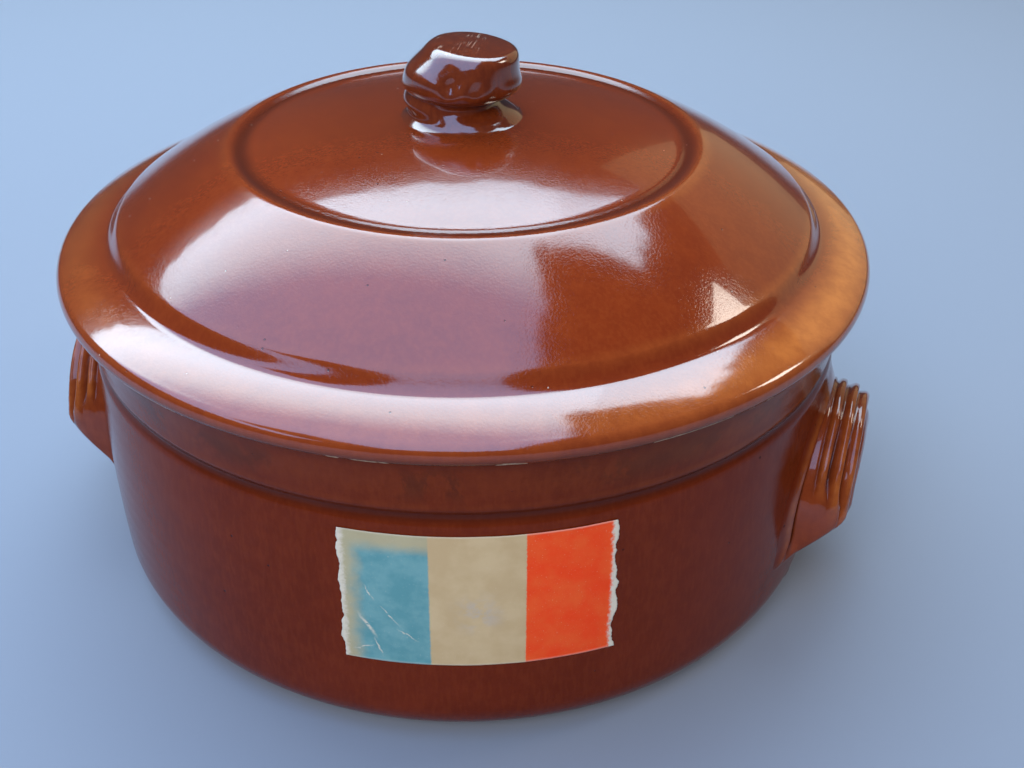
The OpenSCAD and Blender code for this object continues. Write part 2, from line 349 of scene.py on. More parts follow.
def wallR(z):
    # outside with the soft shoulder groove and the flared collar
    away = abs(z - shoulderZ) / (potSizes["grooveHigh"] / 2)
    groove = potSizes["grooveDeep"] * (1 + cos(pi * away)) / 2 if away < 1 else 0
    up = max(0, (z - shoulderZ) / potSizes["collar"])
    return sideR(min(z, shoulderZ)) + potSizes["flare"] * up ** potSizes["flareBend"] - groove


def makePot():
    s = potSizes
    innerR = s["bellyR"] - s["wall"]
    cornerR = sideR(s["baseRound"]) - s["baseRound"]
    wallTop = s["height"] - s["rimRound"]
    under = s["height"] - s["rimHigh"]

    def outside(t):
        z = partWay(s["baseRound"], wallTop, t)
        return wallR(z), z

    profile = Turning(0, 0)
    profile.line(cornerR, 0, 12)
    profile.arc(cornerR, s["baseRound"], 90, 14)
    profile.follow(outside, 110)
    profile.arc(profile.tip.co.x - s["rimRound"], wallTop, 90, 8)
    profile.line(mouthR + s["rimRound"], s["height"], 6)
    profile.arc(mouthR + s["rimRound"], wallTop, 90, 8)
    profile.line(mouthR, under, 8)
    profile.follow(lambda t: (partWay(mouthR, innerR, smoothStep(0, 1, t)), under - s["rimRun"] * t), 12)
    profile.line(innerR, s["floor"] + s["baseRound"], 12)
    profile.arc(innerR - s["baseRound"], s["floor"] + s["baseRound"], -90, 14)
    profile.line(0, s["floor"], 12)
    return profile.turn(s["steps"])


potGlaze = glazeMaterial("potGlaze", potLook)
finishPiece(makePot(), "glazedPot", potGlaze, "pot", "pot")

# Handles: a ribbed strap bent to an arch, its edge on the wall, feet pressed flat and smeared out
handleSizes = {"gapBelowShoulder": 11.5, "archR": 30, "strapWide": 17, "strapOut": 12.7, "plainBand": 0.8,
               "square": 0.8, "lumpy": 0.3, "lumpPace": (0.1, 0.09, 0.09), "forward": 8,
               "ribs": 6.5, "ribDeep": 2.1, "ribSharp": 1.8, "ribEven": 0.55, "ribDrift": 0.11,
               "ribPace": (0.05, 0.9), "ribsEnd": 39, "ribsEndDrift": 9, "ribsEndPace": 1.7, "ribsFade": 6,
               "blobHigh": 0.35, "blobLong": 2.5, "blobUp": 1, "blobStep": (0.1, 0.5),
               "crownShare": 0.45, "crownFrom": 12, "crownTo": 24,
               "footLow": 13, "footPast": 3, "footTaper": 39, "footReach": 21, "footBend": 1.4,
               "footSink": 0.15, "footRound": 2.0, "roundHigh": 20, "spread": 0.2, "spreadHigh": 18,
               "spreadLow": 2, "cornerSoft": 2.4,
               "sideEnds": (0.3, 0.42, 0.85),  # where the strap's side, the crevice and the smear end
               "undercut": 0.51, "creviceLow": 0.1, "lip": 1.6, "lipOut": 1.02, "sunk": 0.05, "buried": 2.5,
               "smearOut": 7, "smearIn": 3, "smearDrift": 0.25, "smearPace": 0.06, "smearBend": 2.2,
               "smearTop": 34, "smearFade": 12, "around": 256, "archSteps": 64, "legSteps": 36}
# glaze on ribs and lip, painted shade in the crevice, and where it takes on the wall's tone
handleTones = {"ribAmber": 0.5, "ribDark": 0.75, "sharp": 3, "creviceFrom": (0.15, 0.26),
               "creviceTo": (0.35, 0.42), "lipFrom": (0.42, 0.5), "lipTo": (0.5, 0.8), "lipAmber": 0.5,
               "wallFrom": (0.55, 0.82), "wallNear": 1.5}
handleLook = dict(potLook, deep=(0.13, 0.019, 0.005), warm=(0.21, 0.036, 0.008), wall=(0.132, 0.0165, 0.004),
                  pool=(0.022, 0.006, 0.004), amber=(0.42, 0.12, 0.022), freckle=0.2, poolsAndShade=[], patches=[],
                  edges=[], bare=[], rings=0.0, lump=1.6, coat=1.0, dullBelow=(16, 42), handMade=True)
handleLayers = ("pool", "thin", "wallTone")  # shares that the glaze reads


def handleSide(q, reach):
    # down the strap's side, over the crevice, along the wall and under it: way out in mm,
    # share of the side's height, height over the wall in mm
    s = handleSizes
    sideEnd, creviceEnd, smearEnd = s["sideEnds"]
    if q < sideEnd:
        t = q / sideEnd
        return -s["undercut"] * smoothStep(0.5, 1, t), 1 - t, s["creviceLow"] * t
    if q < creviceEnd:
        t = (q - sideEnd) / (creviceEnd - sideEnd)
        over = partWay(s["creviceLow"], s["lip"], smoothStep(0, 1, t))
        return partWay(-s["undercut"], s["lipOut"], t), 0, over
    if q < smearEnd:
        t = (q - creviceEnd) / (smearEnd - creviceEnd)
        return partWay(s["lipOut"], reach, t), 0, s["lip"] * (1 - t) ** 2 - s["sunk"] * t
    t = (q - smearEnd) / (1 - smearEnd)
    return partWay(reach, -s["strapWide"] / 2, t), 0, -s["sunk"] - s["buried"] * t


def smearedSide(q, reach):
    # the same way where the foot is rubbed into the wall and the crevice has closed
    s = handleSizes
    t = q / s["sideEnds"][-1]
    if t < 1:
        return reach * t, (1 - t) ** s["smearBend"], -s["sunk"] * t
    return handleSide(q, reach)


def handleTube(middle, archMid):
    # a round tube over the arch and down both legs
    s = handleSizes
    belly = potSizes["bellyR"]
    mesh = bmesh.new()
    for name in handleLayers:
        mesh.verts.layers.float.new(name)
    ring = bmesh.ops.create_circle(mesh, segments=s["around"], radius=1)["verts"]
    bmesh.ops.rotate(mesh, cent=(0, 0, 0), matrix=Matrix.Rotation(pi / 2, 3, "Z"), verts=ring)
    for v in ring:  # stood up at one end of the arch
        v.co = (belly + v.co.y, archMid + v.co.x, middle)
    bmesh.ops.spin(mesh, geom=mesh.verts[:] + mesh.edges[:], cent=(belly, 0, middle), axis=(1, 0, 0),
                   angle=pi, steps=s["archSteps"])
    legStep = (middle - s["footLow"] + s["footPast"]) / s["legSteps"]
    for side in (1, -1):
        edges = [e for e in mesh.edges if e.is_boundary and e.verts[0].co.y * side > 0
                 and e.verts[0].co.z > middle - 1]
        for step in range(s["legSteps"]):
            made = bmesh.ops.extrude_edge_only(mesh, edges=edges)["geom"]
            edges = [g for g in made if isinstance(g, bmesh.types.BMEdge) and g.is_boundary]
            verts = [g for g in made if isinstance(g, bmesh.types.BMVert)]
            bmesh.ops.translate(mesh, vec=(0, 0, -legStep), verts=verts)
    bmesh.ops.holes_fill(mesh, edges=[e for e in mesh.edges if e.is_boundary], sides=0)
    return mesh


def makeHandle(turn, seed):
    s, tone = handleSizes, handleTones
    belly = potSizes["bellyR"]
    halfWide = s["strapWide"] / 2
    archMid = s["archR"] - halfWide
    middle = shoulderZ - s["gapBelowShoulder"] - s["archR"]
    mesh = handleTube(middle, archMid)
    pool, thin, wallTone = (mesh.verts.layers.float[name] for name in handleLayers)
    for v in mesh.verts:
        pos = v.co.copy()
        onArch = pos.z > middle
        across = Vector((0, pos.y, pos.z - middle if onArch else 0))
        angle = atan2(pos.x - belly, across.length - archMid)
        across.normalize()
        base = middle if onArch else pos.z
        cosine, sine = cos(angle), sin(angle)
        outer = 1 if cosine > 0 else -1  # outer or inner side of the arch
        lumps = s["lumpy"] * wobble(seed + 5, *(part * pace for part, pace in zip(pos, s["lumpPace"])))
        upFoot = smoothStep(s["footLow"] - s["spreadLow"], s["footLow"] + s["spreadHigh"], pos.z)
        spread = 1 + s["spread"] * (1 - upFoot)
        bandX = belly + s["plainBand"] + lumps
        if sine > 0:  # rounded outer face with grooves between the ribs
            u = halfWide * abs(cosine) ** s["square"] * outer
            w = (s["strapOut"] - s["plainBand"]) * sine ** s["square"]
            even = sine ** s["square"] / 2
            even = pi * (even if cosine > 0 else 1 - even)
            pace, turnPace = s["ribPace"]
            drift = s["ribDrift"] * wobble(seed, pos.z * pace, pos.y * pace, angle * turnPace)
            phase = s["ribs"] * (partWay(angle, even, s["ribEven"]) + drift * sine) / pi
            ribEnd = wobble(seed + 2, round(phase - 0.5) * s["ribsEndPace"])  # each rib ends on its own
            ribEnd = s["ribsEnd"] + s["ribsEndDrift"] * ribEnd
            height = base + across.z * archMid
            share = smoothStep(ribEnd, ribEnd + s["ribsFade"], height)
            onCrown = smoothStep(middle + s["crownFrom"], middle + s["crownTo"], height)
            share *= 1 - (1 - s["crownShare"]) * onCrown
            groove = (0.5 + 0.5 * cos(2 * pi * phase)) ** s["ribSharp"]
            blob = exp(-((height - ribEnd - s["blobUp"]) / s["blobLong"]) ** 2)  # clay at a rib's end
            blob *= s["blobHigh"] * (1 - groove) * smoothStep(*s["blobStep"], sine)
            shrink = 1 - (s["ribDeep"] * share * groove - blob) / halfWide
            pos = Vector((bandX + w * shrink, 0, base)) + across * (archMid + (u * shrink + lumps) * spread)
            v[thin] = min(1, share * (1 - groove) ** tone["sharp"] * tone["ribAmber"] + blob)
            v[pool] = share * groove ** tone["sharp"] * tone["ribDark"]
        else:  # plain side, crevice and the clay smeared along the wall
            u = halfWide * outer
            q = (-angle if cosine > 0 else angle + pi) / (pi / 2)
            q = min(1, max(0, q if q <= 1 else 4 - q))
            reach = s["smearOut"] if cosine > 0 else s["smearIn"]
            reach *= 1 + s["smearDrift"] * wobble(seed + 8, pos.y * s["smearPace"], pos.z * s["smearPace"])
            closed = 1 - smoothStep(s["smearTop"] - s["smearFade"], s["smearTop"], pos.z)
            ways = zip(handleSide(q, reach), smearedSide(q, reach))
            out, share, over = (partWay(opened, shut, closed) for opened, shut in ways)
            sideways = ((halfWide + out) * outer + lumps * share) * spread
            pos = Vector((0, 0, base)) + across * (archMid + sideways)
            wall = sqrt(sideR(pos.z) ** 2 - pos.y ** 2)
            pos.x = partWay(wall, bandX, share) + over
            # painted shade in the crevice between the strap and the wall
            dark = smoothStep(*tone["creviceFrom"], q) * (1 - smoothStep(*tone["creviceTo"], q))
            amber = smoothStep(*tone["lipFrom"], q) * (1 - smoothStep(*tone["lipTo"], q))
            v[pool] = dark * (1 - closed)
            v[thin] = amber * tone["lipAmber"]
            v[wallTone] = smoothStep(*tone["wallFrom"], q)
        # the feet thin out and run into the wall
        out = hypot(pos.x, pos.y)
        rise = smoothStep(s["footLow"], s["footLow"] + s["footTaper"], pos.z) ** s["footBend"]
        tip = 1 - smoothStep(s["footLow"], s["footLow"] + s["roundHigh"], pos.z)
        tip *= s["footRound"] * (u / halfWide) ** 2
        most = sideR(pos.z) - s["footSink"] - tip + (s["footReach"] + s["footSink"]) * rise
        past, soft = out - most, s["cornerSoft"]
        limited = most if past > soft else out - (past + soft) ** 2 / (4 * soft) if past > -soft else out
        v.co = (pos.x * limited / out, pos.y * limited / out, pos.z)
        v[wallTone] = max(v[wallTone], 1 - smoothStep(0, tone["wallNear"], limited - sideR(pos.z)))
    bmesh.ops.recalc_face_normals(mesh, faces=mesh.faces[:])
    swing = Matrix.Rotation(radians(turn), 3, "Z")
    bmesh.ops.rotate(mesh, cent=(0, 0, 0), matrix=swing, verts=mesh.verts[:])
    return mesh


handleGlaze = glazeMaterial("handleGlaze", handleLook)
rightHandle = makeHandle(-handleSizes["forward"], 1)
finishPiece(rightHandle, "rightHandle", handleGlaze, "pot", "right_handle")
leftHandle = makeHandle(180 + handleSizes["forward"], 2)
finishPiece(leftHandle, "leftHandle", handleGlaze, "pot", "left_handle")

# Lid
lidSizes = {"over": 4.1, "hair": 0.05, "edge": 6.6, "beadFrom": 60, "slope": 19, "flangeCrown": 0.45,
            "footR": 105, "hollow": 3, "hollowOut": 1.2, "hollowIn": 1.5, "domeCurve": 177,
            "stepR": 65, "stepDeep": 0.6, "stepOuter": 5.5, "stepInner": 2.5, "capLip": 0.3, "capCurve": 270,
            "thick": 7, "ringHigh": 6, "ringThick": 6.5, "ringGap": 1.5, "ringRound": 1.5, "steps": 256}
lidLook = dict(potLook, deep=(0.168, 0.0205, 0.0042), warm=(0.218, 0.030, 0.0052),
               ember=(0.32, 0.062, 0.012), pool=(0.07, 0.012, 0.005), amber=(0.58, 0.165, 0.03),
               pit=(0.05, 0.012, 0.005), fleck=(0.70, 0.52, 0.38), pinScale=230.0, pinChance=0.82,
               fleckChance=0.88,
               # the stripe at 98.6 mm is painted shade on the underside of the flange's bead
               poolsAndShade=[("r", 65.4, 4.2, 0.85), ("r", 25, 45, 0.3), ("z", 98.6, 3.4, 0.75)], patches=[],
               edges=[("r", 114.5, 9.5, 0.8), ("r", 70.0, 3.0, 0.25), ("r", 102.0, 2.5, 0.2)],
               bare=[("z", 91, 97.9, 0, 119.2, 0), ("z", 97.0, 98.9, 117.5, 124, 0.52)], ragged=1.2,
               shine=0.36, gloss=0.05, coat=1.0, coatIor=1.64, coatRough=0.045, dullBelow=(98.5, 103.5),
               glossFrom=(102, 107), innerGloss=0.66, peel=0.24, lump=0.3, ringPitch=0.9)
slope = radians(lidSizes["slope"])
bead = lidSizes["edge"] / 2
beadR = rimR + lidSizes["over"] - lidSizes["hair"] - bead  # a hair inside the solid
footZ = potSizes["height"] + lidSizes["edge"] + (beadR - lidSizes["footR"]) * tan(slope)
domeStart = lidSizes["footR"] - lidSizes["hollow"] / 2
domeZ = footZ + lidSizes["hollow"] - sqrt(lidSizes["domeCurve"] ** 2 - domeStart ** 2)


def domeHeight(r):
    return domeZ + sqrt(lidSizes["domeCurve"] ** 2 - r * r)


stepOut = lidSizes["stepR"] + lidSizes["stepOuter"]
stepIn = lidSizes["stepR"] - lidSizes["stepInner"]
stepLow = domeHeight(stepOut) - lidSizes["stepDeep"]
capZ = stepLow + lidSizes["capLip"] - sqrt(lidSizes["capCurve"] ** 2 - stepIn ** 2)


def capHeight(r):
    return capZ + sqrt(lidSizes["capCurve"] ** 2 - r * r)


def makeLid():
    s = lidSizes
    seat = potSizes["height"]
    ringR = mouthR - s["ringGap"]
    hollowR = ringR - s["ringThick"]
    ringLow = seat - s["ringHigh"]
    ringBend = ringLow + s["ringRound"]
    underCurve = s["domeCurve"] - s["thick"]
    underTop = min(domeZ + underCurve, capHeight(0) - s["thick"])
    hollowTop = domeStart - s["hollowIn"]

    def under(t):
        r = hollowR * t
        return r, min(underTop, domeZ + sqrt(underCurve ** 2 - r * r))

    def dome(t):
        r = partWay(hollowTop, stepOut, t)
        return r, domeHeight(r)

    def groove(t):  # over the band's soft edge, down to the ring and up to the cap
        r = partWay(stepOut, stepIn, t)
        if r > s["stepR"]:
            return r, partWay(domeHeight(r), stepLow, smoothStep(stepOut, s["stepR"], r))
        return r, stepLow + s["capLip"] * smoothStep(s["stepR"], stepIn, r)

    def cap(t):
        r = stepIn * (1 - t)
        return r, capHeight(r)

    profile = Turning(*under(0))
    profile.follow(under, 40)
    profile.line(hollowR, ringBend, 6)
    profile.arc(hollowR + s["ringRound"], ringBend, 90, 6)
    profile.line(ringR - s["ringRound"], ringLow, 2)
    profile.arc(ringR - s["ringRound"], ringBend, 90, 6)
    profile.line(ringR, seat, 3)
    beadFrom = radians(s["beadFrom"])
    profile.line(beadR + bead * cos(beadFrom), seat + bead - bead * sin(beadFrom), 8)
    profile.arc(beadR, seat + bead, 90 + s["beadFrom"] - s["slope"], 16)
    outR, outZ = profile.tip.co.x, profile.tip.co.z
    inR, inZ = s["footR"] + s["hollowOut"], footZ - s["hollowOut"] * tan(slope)
    profile.follow(lambda t: (partWay(outR, inR, t),
                              partWay(outZ, inZ, t) + 4 * s["flangeCrown"] * t * (1 - t)), 16)
    fromR, fromZ = profile.tip.co.x, profile.tip.co.z

    def hollow(t):  # soft hollow where the dome rises from the flange
        r = partWay(fromR, hollowTop, t)
        flat = fromZ + (fromR - r) * tan(slope)
        return r, partWay(flat, domeHeight(r), smoothStep(0, 1, t))

    profile.follow(hollow, 14)
    profile.follow(dome, 44)
    profile.follow(groove, 28)
    profile.follow(cap, 40)
    return profile.turn(s["steps"])


lidGlaze = glazeMaterial("lidGlaze", lidLook)
finishPiece(makeLid(), "glazedLid", lidGlaze, "lid", "lid")

# Knob: a squat drum on a waist that stands a little to one side
knobSizes = {"headR": 17.4, "headHigh": 13.9, "upperRound": 4.4, "lowerRound": 4.8, "taper": 28, "crown": 0.4,
             "lean": 5, "shear": 2.4, "aside": 0.9, "neckR": 13.6, "neckShift": 3.6, "neckHigh": 7.0,
             "neckLip": 0.6, "seatR": 18, "footR": 20, "footIn": 1, "footSink": 0.3, "rooted": 1.5,
             "uneven": 0.7, "unevenPace": (0.085, 0.085, 0.10), "slimmer": 0.4, "stillR": 8, "bend": 2,
             "steps": 160,
             # thumb dents: angle, share of the head's height, depth and width
             "dents": [(-92, 0.46, 1.5, 2.7), (-66, 0.42, 1.0, 2.4), (-40, 0.36, 0.8, 3.0)]}
knobLook = dict(lidLook, deep=(0.095, 0.014, 0.0045), warm=(0.155, 0.025, 0.006), poolsAndShade=[], bare=[], edges=[],
                lump=1.2, rings=0.0, wornAbove=157.1, dullBelow=None, glossFrom=None)


def makeKnob():
    s = knobSizes
    base = capHeight(s["seatR"])
    headZ = base + s["neckHigh"]
    bendZ = headZ + s["lowerRound"]
    top = headZ + s["headHigh"]
    taper = radians(s["taper"])
    sideHigh = s["headHigh"] - s["upperRound"] - s["lowerRound"]
    underR = s["headR"] - s["lowerRound"]
    crownR = underR + (s["lowerRound"] - s["upperRound"] - sideHigh * sin(taper)) / cos(taper)
    start = asin((s["neckR"] - underR) / s["lowerRound"])  # the head's round begins on the neck
    startZ = headZ + s["lowerRound"] * (1 - cos(start))
    neckTop = startZ - s["neckLip"]
    foot = capHeight(s["footR"]) - s["footSink"]
    profile = Turning(0, base - s["rooted"])
    profile.line(s["footR"] - s["footIn"], base - s["rooted"], 4)
    profile.line(s["footR"], foot, 2)
    profile.follow(lambda t: (partWay(s["footR"], s["neckR"], sin(pi / 2 * t)),
                              partWay(foot, neckTop, 1 - cos(pi / 2 * t))), 22)
    profile.line(s["neckR"], startZ, 2)
    profile.arc(underR, bendZ, 90 + s["taper"] - degrees(start), 18)
    profile.line(crownR + s["upperRound"] * cos(taper), top - s["upperRound"] * (1 - sin(taper)), 8)
    profile.arc(crownR, top - s["upperRound"], 90 - s["taper"], 10)
    profile.follow(lambda t: (crownR * (1 - t), top + s["crown"] * sin(pi / 2 * t)), 12)
    mesh = profile.turn(s["steps"])
    lean = Matrix.Rotation(radians(s["lean"]), 3, "Y")
    pivot = Vector((0, 0, headZ))
    thumbs = []
    for angle, up, deep, wide in s["dents"]:
        onSide = Vector((s["headR"] * cos(radians(angle)), s["headR"] * sin(radians(angle)), 0))
        thumbs.append((onSide + Vector((0, 0, headZ + s["headHigh"] * up)), deep, wide))
    for v in mesh.verts:
        x, y, z = v.co
        share = smoothStep(base + s["bend"], headZ + s["bend"], z)
        waist = smoothStep(base + s["bend"] / 2, headZ - s["bend"], z)
        waist *= 1 - smoothStep(headZ - s["bend"], bendZ, z)
        outward = Vector((x, y, 0)).normalized() * min(1, hypot(x, y) / s["stillR"])
        pressed = sum(deep * exp(-((v.co - thumb).length / wide) ** 2) for thumb, deep, wide in thumbs)
        uneven = wobble(3, *(part * pace for part, pace in zip(v.co, s["unevenPace"])))
        uneven = s["uneven"] * uneven - s["slimmer"]
        v.co = v.co.lerp(pivot + lean @ (v.co - pivot), share)
        v.co.x += s["shear"] * smoothStep(bendZ, top, v.co.z) - s["neckShift"] * waist - s["aside"]
        v.co += outward * (uneven - pressed) * share
    return mesh


knobGlaze = glazeMaterial("knobGlaze", knobLook)
finishPiece(makeKnob(), "lidKnob", knobGlaze, "lid", "lid_knob")

# Paper label: three plain bands, torn at both ends and scuffed
labelSizes = {"wide": 73, "high": 42, "gapBelowShoulder": 5, "turn": 14.5, "stand": 0.15, "thick": 0.2,
              "curl": 0.12, "curlEnds": 0.44, "curlRims": 0.47, "rimShare": 0.5, "curlLeast": 0.6,
              "curlPace": 9, "cockle": 0.03, "cocklePace": (14, 10), "columns": 220, "rows": 130,
              # a torn end: depth, where it starts, and its waves as seed, pace and depth
              "tornLeft": (0.018, 0.36, [(7, 4, 0.020), (8, 14, 0.012), (9, 45, 0.004)]),
              "tornRight": (0.010, 0.40, [(11, 4, 0.012), (12, 16, 0.010), (13, 50, 0.004)])}
labelLook = {"cream": (0.535, 0.375, 0.20), "paleCream": (0.59, 0.43, 0.24), "blue": (0.098, 0.285, 0.31),
             "paleBlue": (0.155, 0.345, 0.36), "red": (0.88, 0.055, 0.008), "paleRed": (0.86, 0.095, 0.018),
             "fibre": (0.68, 0.60, 0.48), "faded": (0.42, 0.38, 0.22), "scuff": (0.45, 0.40, 0.36),
             "stain": (0.24, 0.16, 0.08), "firstBorder": (0.326, 0.334), "secondBorder": (0.662, 0.668),
             "borderWave": 0.010, "fadeWave": 0.10, "fadeSide": (0.03, 0.11), "fadeTop": (0.84, 0.95),
             "fadedShare": 0.55, "blueLeast": 0.12, "blueMost": 0.97, "redShare": 0.98,
             "fibreWave": 0.05, "leftFibres": (0.02, 0.045), "rightFibres": (0.962, 0.980),
             "lowFibres": (0.0, 0.02), "topFibres": (0.985, 1.0), "rimShare": 0.35, "fleckShare": 0.5,
             "rubShare": 0.7, "stainShare": 0.20, "rough": 0.55, "roughDrift": 0.25, "shine": 0.15,
             "aspect": 1.74, "stretch": 1.69, "bumpStrength": 0.6, "bump": 0.0001,
             # marks: place across and up, angle, length and width
             "scratches": [(0.12, 0.55, 115, 0.08, 0.006), (0.11, 0.29, -60, 0.14, 0.016),
                           (0.145, 0.12, -75, 0.10, 0.008), (0.19, 0.38, -50, 0.12, 0.006),
                           (0.09, 0.10, 20, 0.09, 0.008), (0.25, 0.24, -35, 0.10, 0.005)],
             "rub": (0.50, 0.43, 12, 0.20, 0.20), "markBend": 0.06}


def tornEdge(end, toEnd, up):
    # how far a torn end draws in, as a share of the width
    depth, begins, waves = labelSizes[end]
    depth += sum(deep * wobble(seed, up * pace) for seed, pace, deep in waves)
    return max(0, depth) * smoothStep(begins, 0.5, toEnd)


def makeLabel():
    s = labelSizes
    mesh = bmesh.new()
    uv = mesh.loops.layers.uv.new("label")
    bmesh.ops.create_grid(mesh, x_segments=s["columns"], y_segments=s["rows"], size=0.5)
    for v in mesh.verts:
        across, up = v.co.x, v.co.y
        v.co.x += tornEdge("tornLeft", -across, up) - tornEdge("tornRight", across, up)
    for face in mesh.faces:
        for loop in face.loops:
            loop[uv].uv = (loop.vert.co.x + 0.5, loop.vert.co.y + 0.5)
    low = shoulderZ - s["gapBelowShoulder"] - s["high"]
    middle = radians(-90 + s["turn"])
    for v in mesh.verts:
        across, up = v.co.x, v.co.y
        z = low + s["high"] * (up + 0.5)
        end = smoothStep(s["curlEnds"], 0.5, abs(across))
        end += smoothStep(s["curlRims"], 0.5, abs(up)) * s["rimShare"]
        lift = s["curl"] * end * (s["curlLeast"] + wobble(15, across * s["curlPace"], up * s["curlPace"]))
        lift += s["cockle"] * wobble(16, across * s["cocklePace"][0], up * s["cocklePace"][1])
        r = sideR(z) + s["stand"] + max(0, lift)
        angle = middle + across * s["wide"] / potSizes["bellyR"]
        v.co = (r * cos(angle), r * sin(angle), z)
    bmesh.ops.recalc_face_normals(mesh, faces=mesh.faces[:])
    if mesh.faces[0].normal.dot(mesh.faces[0].verts[0].co * Vector((1, 1, 0))) < 0:
        bmesh.ops.reverse_faces(mesh, faces=mesh.faces[:])
    return mesh


def paperMaterial(look):
    material, start = newMaterial("labelPaper")
    uv = start.node("ShaderNodeUVMap", {"uv_map": "label"})
    across = start.node("ShaderNodeSeparateXYZ", {}, {0: uv})
    up = across.output(1)
    sheet = start.node("ShaderNodeMapping", {}, {"Vector": uv, "Scale": (look["stretch"], 1.0, 1.0)})

    def grain(scale, detail=3.0, rough=0.6):
        return sheet.cloud(scale, detail, rough)

    def mark(atAcross, atUp, angle, long, wide):
        aside = (across - atAcross) * look["aspect"]
        rise = up - atUp
        tilt = radians(angle)
        along = aside * cos(tilt) + rise * sin(tilt)
        off = rise * cos(tilt) - aside * sin(tilt) + (grain(9.0) - 0.5) * look["markBend"]
        return off.band(0.0, wide) * along.band(0.0, long)

    # three bands with slightly uneven borders
    paper = start.plain(look["cream"]).tint(look["paleCream"], grain(4.0).between(0.35, 0.65))
    blue = start.plain(look["blue"]).tint(look["paleBlue"], grain(6.0).between(0.35, 0.65))
    red = start.plain(look["red"]).tint(look["paleRed"], grain(5.0).between(0.3, 0.7))
    border = across + (grain(60.0, 4.0) - 0.5) * look["borderWave"]
    inBlue = 1 - border.between(*look["firstBorder"])
    inRed = border.between(*look["secondBorder"])

    # the blue has faded from the torn end and the upper edge
    fade = (grain(5.0) - 0.5) * look["fadeWave"]
    kept = (across + fade).between(*look["fadeSide"]) * (1 - (up + fade).between(*look["fadeTop"]))
    kept = look["blueLeast"] + kept * (look["blueMost"] - look["blueLeast"])
    colour = paper.tint(look["faded"], inBlue * look["fadedShare"]).tint(blue, inBlue * kept)
    colour = colour.tint(red, inRed * look["redShare"])

    # pale torn fibres at the ends, scratches low on the blue, a rubbed place and faint stains
    ragged = across + (grain(26.0, 5.0, 0.75) - 0.5) * look["fibreWave"]
    ends = (1 - ragged.between(*look["leftFibres"])).most(ragged.between(*look["rightFibres"]))
    rims = (1 - up.between(*look["lowFibres"])).most(up.between(*look["topFibres"]))
    torn = ends.most(rims * look["rimShare"])
    scratch = None
    for line in look["scratches"]:
        scratch = scratch.most(mark(*line)) if scratch else mark(*line)
    scratch = scratch * grain(40.0, 4.0).between(0.35, 0.50)
    flecks = grain(120.0, 2.0, 0.5).between(0.68, 0.74) * look["fleckShare"]
    rub = mark(*look["rub"]) * grain(9.0, 5.0, 0.7).between(0.40, 0.62)
    colour = colour.tint(look["scuff"], rub * look["rubShare"])
    colour = colour.tint(look["fibre"], torn.most(scratch.most(flecks)))
    colour = colour.tint(look["stain"], grain(24.0, 6.0, 0.8).between(0.62, 0.78) * look["stainShare"])
    relief = grain(300.0) * 0.5 + grain(30.0, 4.0) * 0.8 + torn
    normal = start.node("ShaderNodeBump", {}, {"Strength": look["bumpStrength"], "Distance": look["bump"],
                                               "Height": relief})
    roughness = look["rough"] + grain(50.0) * look["roughDrift"]
    finishMaterial(start, {"Base Color": colour, "Roughness": roughness, "Normal": normal,
                           "Specular IOR Level": look["shine"]})
    return material


labelPaper = paperMaterial(labelLook)
labelPiece = finishPiece(makeLabel(), "paperLabel", labelPaper, "pot", "paper_label")
skin = labelPiece.modifiers.new("thickness", "SOLIDIFY")
skin.thickness = labelSizes["thick"] * mm
skin.offset = 1.0

# Floor, light and camera
floorLook = {"size": 8.0, "colour": (0.235, 0.25, 0.29), "farFrom": 0.75, "farTo": 1.4}
worldLook = {"colour": (0.62, 0.77, 1.0), "strength": 0.06, "seen": 0.60}
softBoxes = {  # place and size in metres along the photograph's own axes, brightness and tint
    "window": {"place": (-0.65, 0.34, 1.0), "size": (1.80, 1.36), "glow": 5.8, "tint": (1.0, 1.0, 1.0)},
    "windowNear": {"place": (-0.65, -0.82, 1.0), "size": (1.80, 0.96), "glow": 5.8, "tint": (1.0, 1.0, 1.0)},
    "windowRight": {"place": (0.465, 0.58, 1.0), "size": (0.43, 0.88), "glow": 4.9, "tint": (1.0, 1.0, 1.0)},
    "warmRight": {"place": (1.35, 1.15, 0.75), "size": (1.90, 1.20), "glow": 0.4, "tint": (1.0, 0.76, 0.42)},
    "smallRight": {"place": (1.12, 0.20, 0.95), "size": (0.44, 0.30), "glow": 9.0, "tint": (1.0, 0.92, 0.80)},
    "frontFill": {"place": (-0.35, -1.5, 1.2), "size": (1.6, 1.1), "glow": 5.0, "tint": (1.0, 0.97, 0.92)}}
# the window boxes share one shade, bluer and dimmer towards the camera
windowFade = {"near": -0.4, "far": 1.0, "tilt": 0.32,
              "stops": [(0.0, (0.165, 0.30, 0.54)), (0.28, (0.165, 0.30, 0.54)), (0.42, (0.64, 0.87, 1.06)),
                        (0.60, (0.86, 1.13, 1.36)), (0.82, (0.84, 1.10, 1.32)), (1.0, (0.68, 0.92, 1.14))]}
# and one soft, wavy outline: left, right, back, and two places cut away near the camera
windowEdges = {"left": -1.5, "right": 0.62, "back": 0.96, "rightCut": (0.25, 0.2),
               "leftCut": (-0.98, -0.55, -0.34), "soft": 0.06, "wave": 0.16, "waveNoise": (7.0, 4.0, 0.5)}


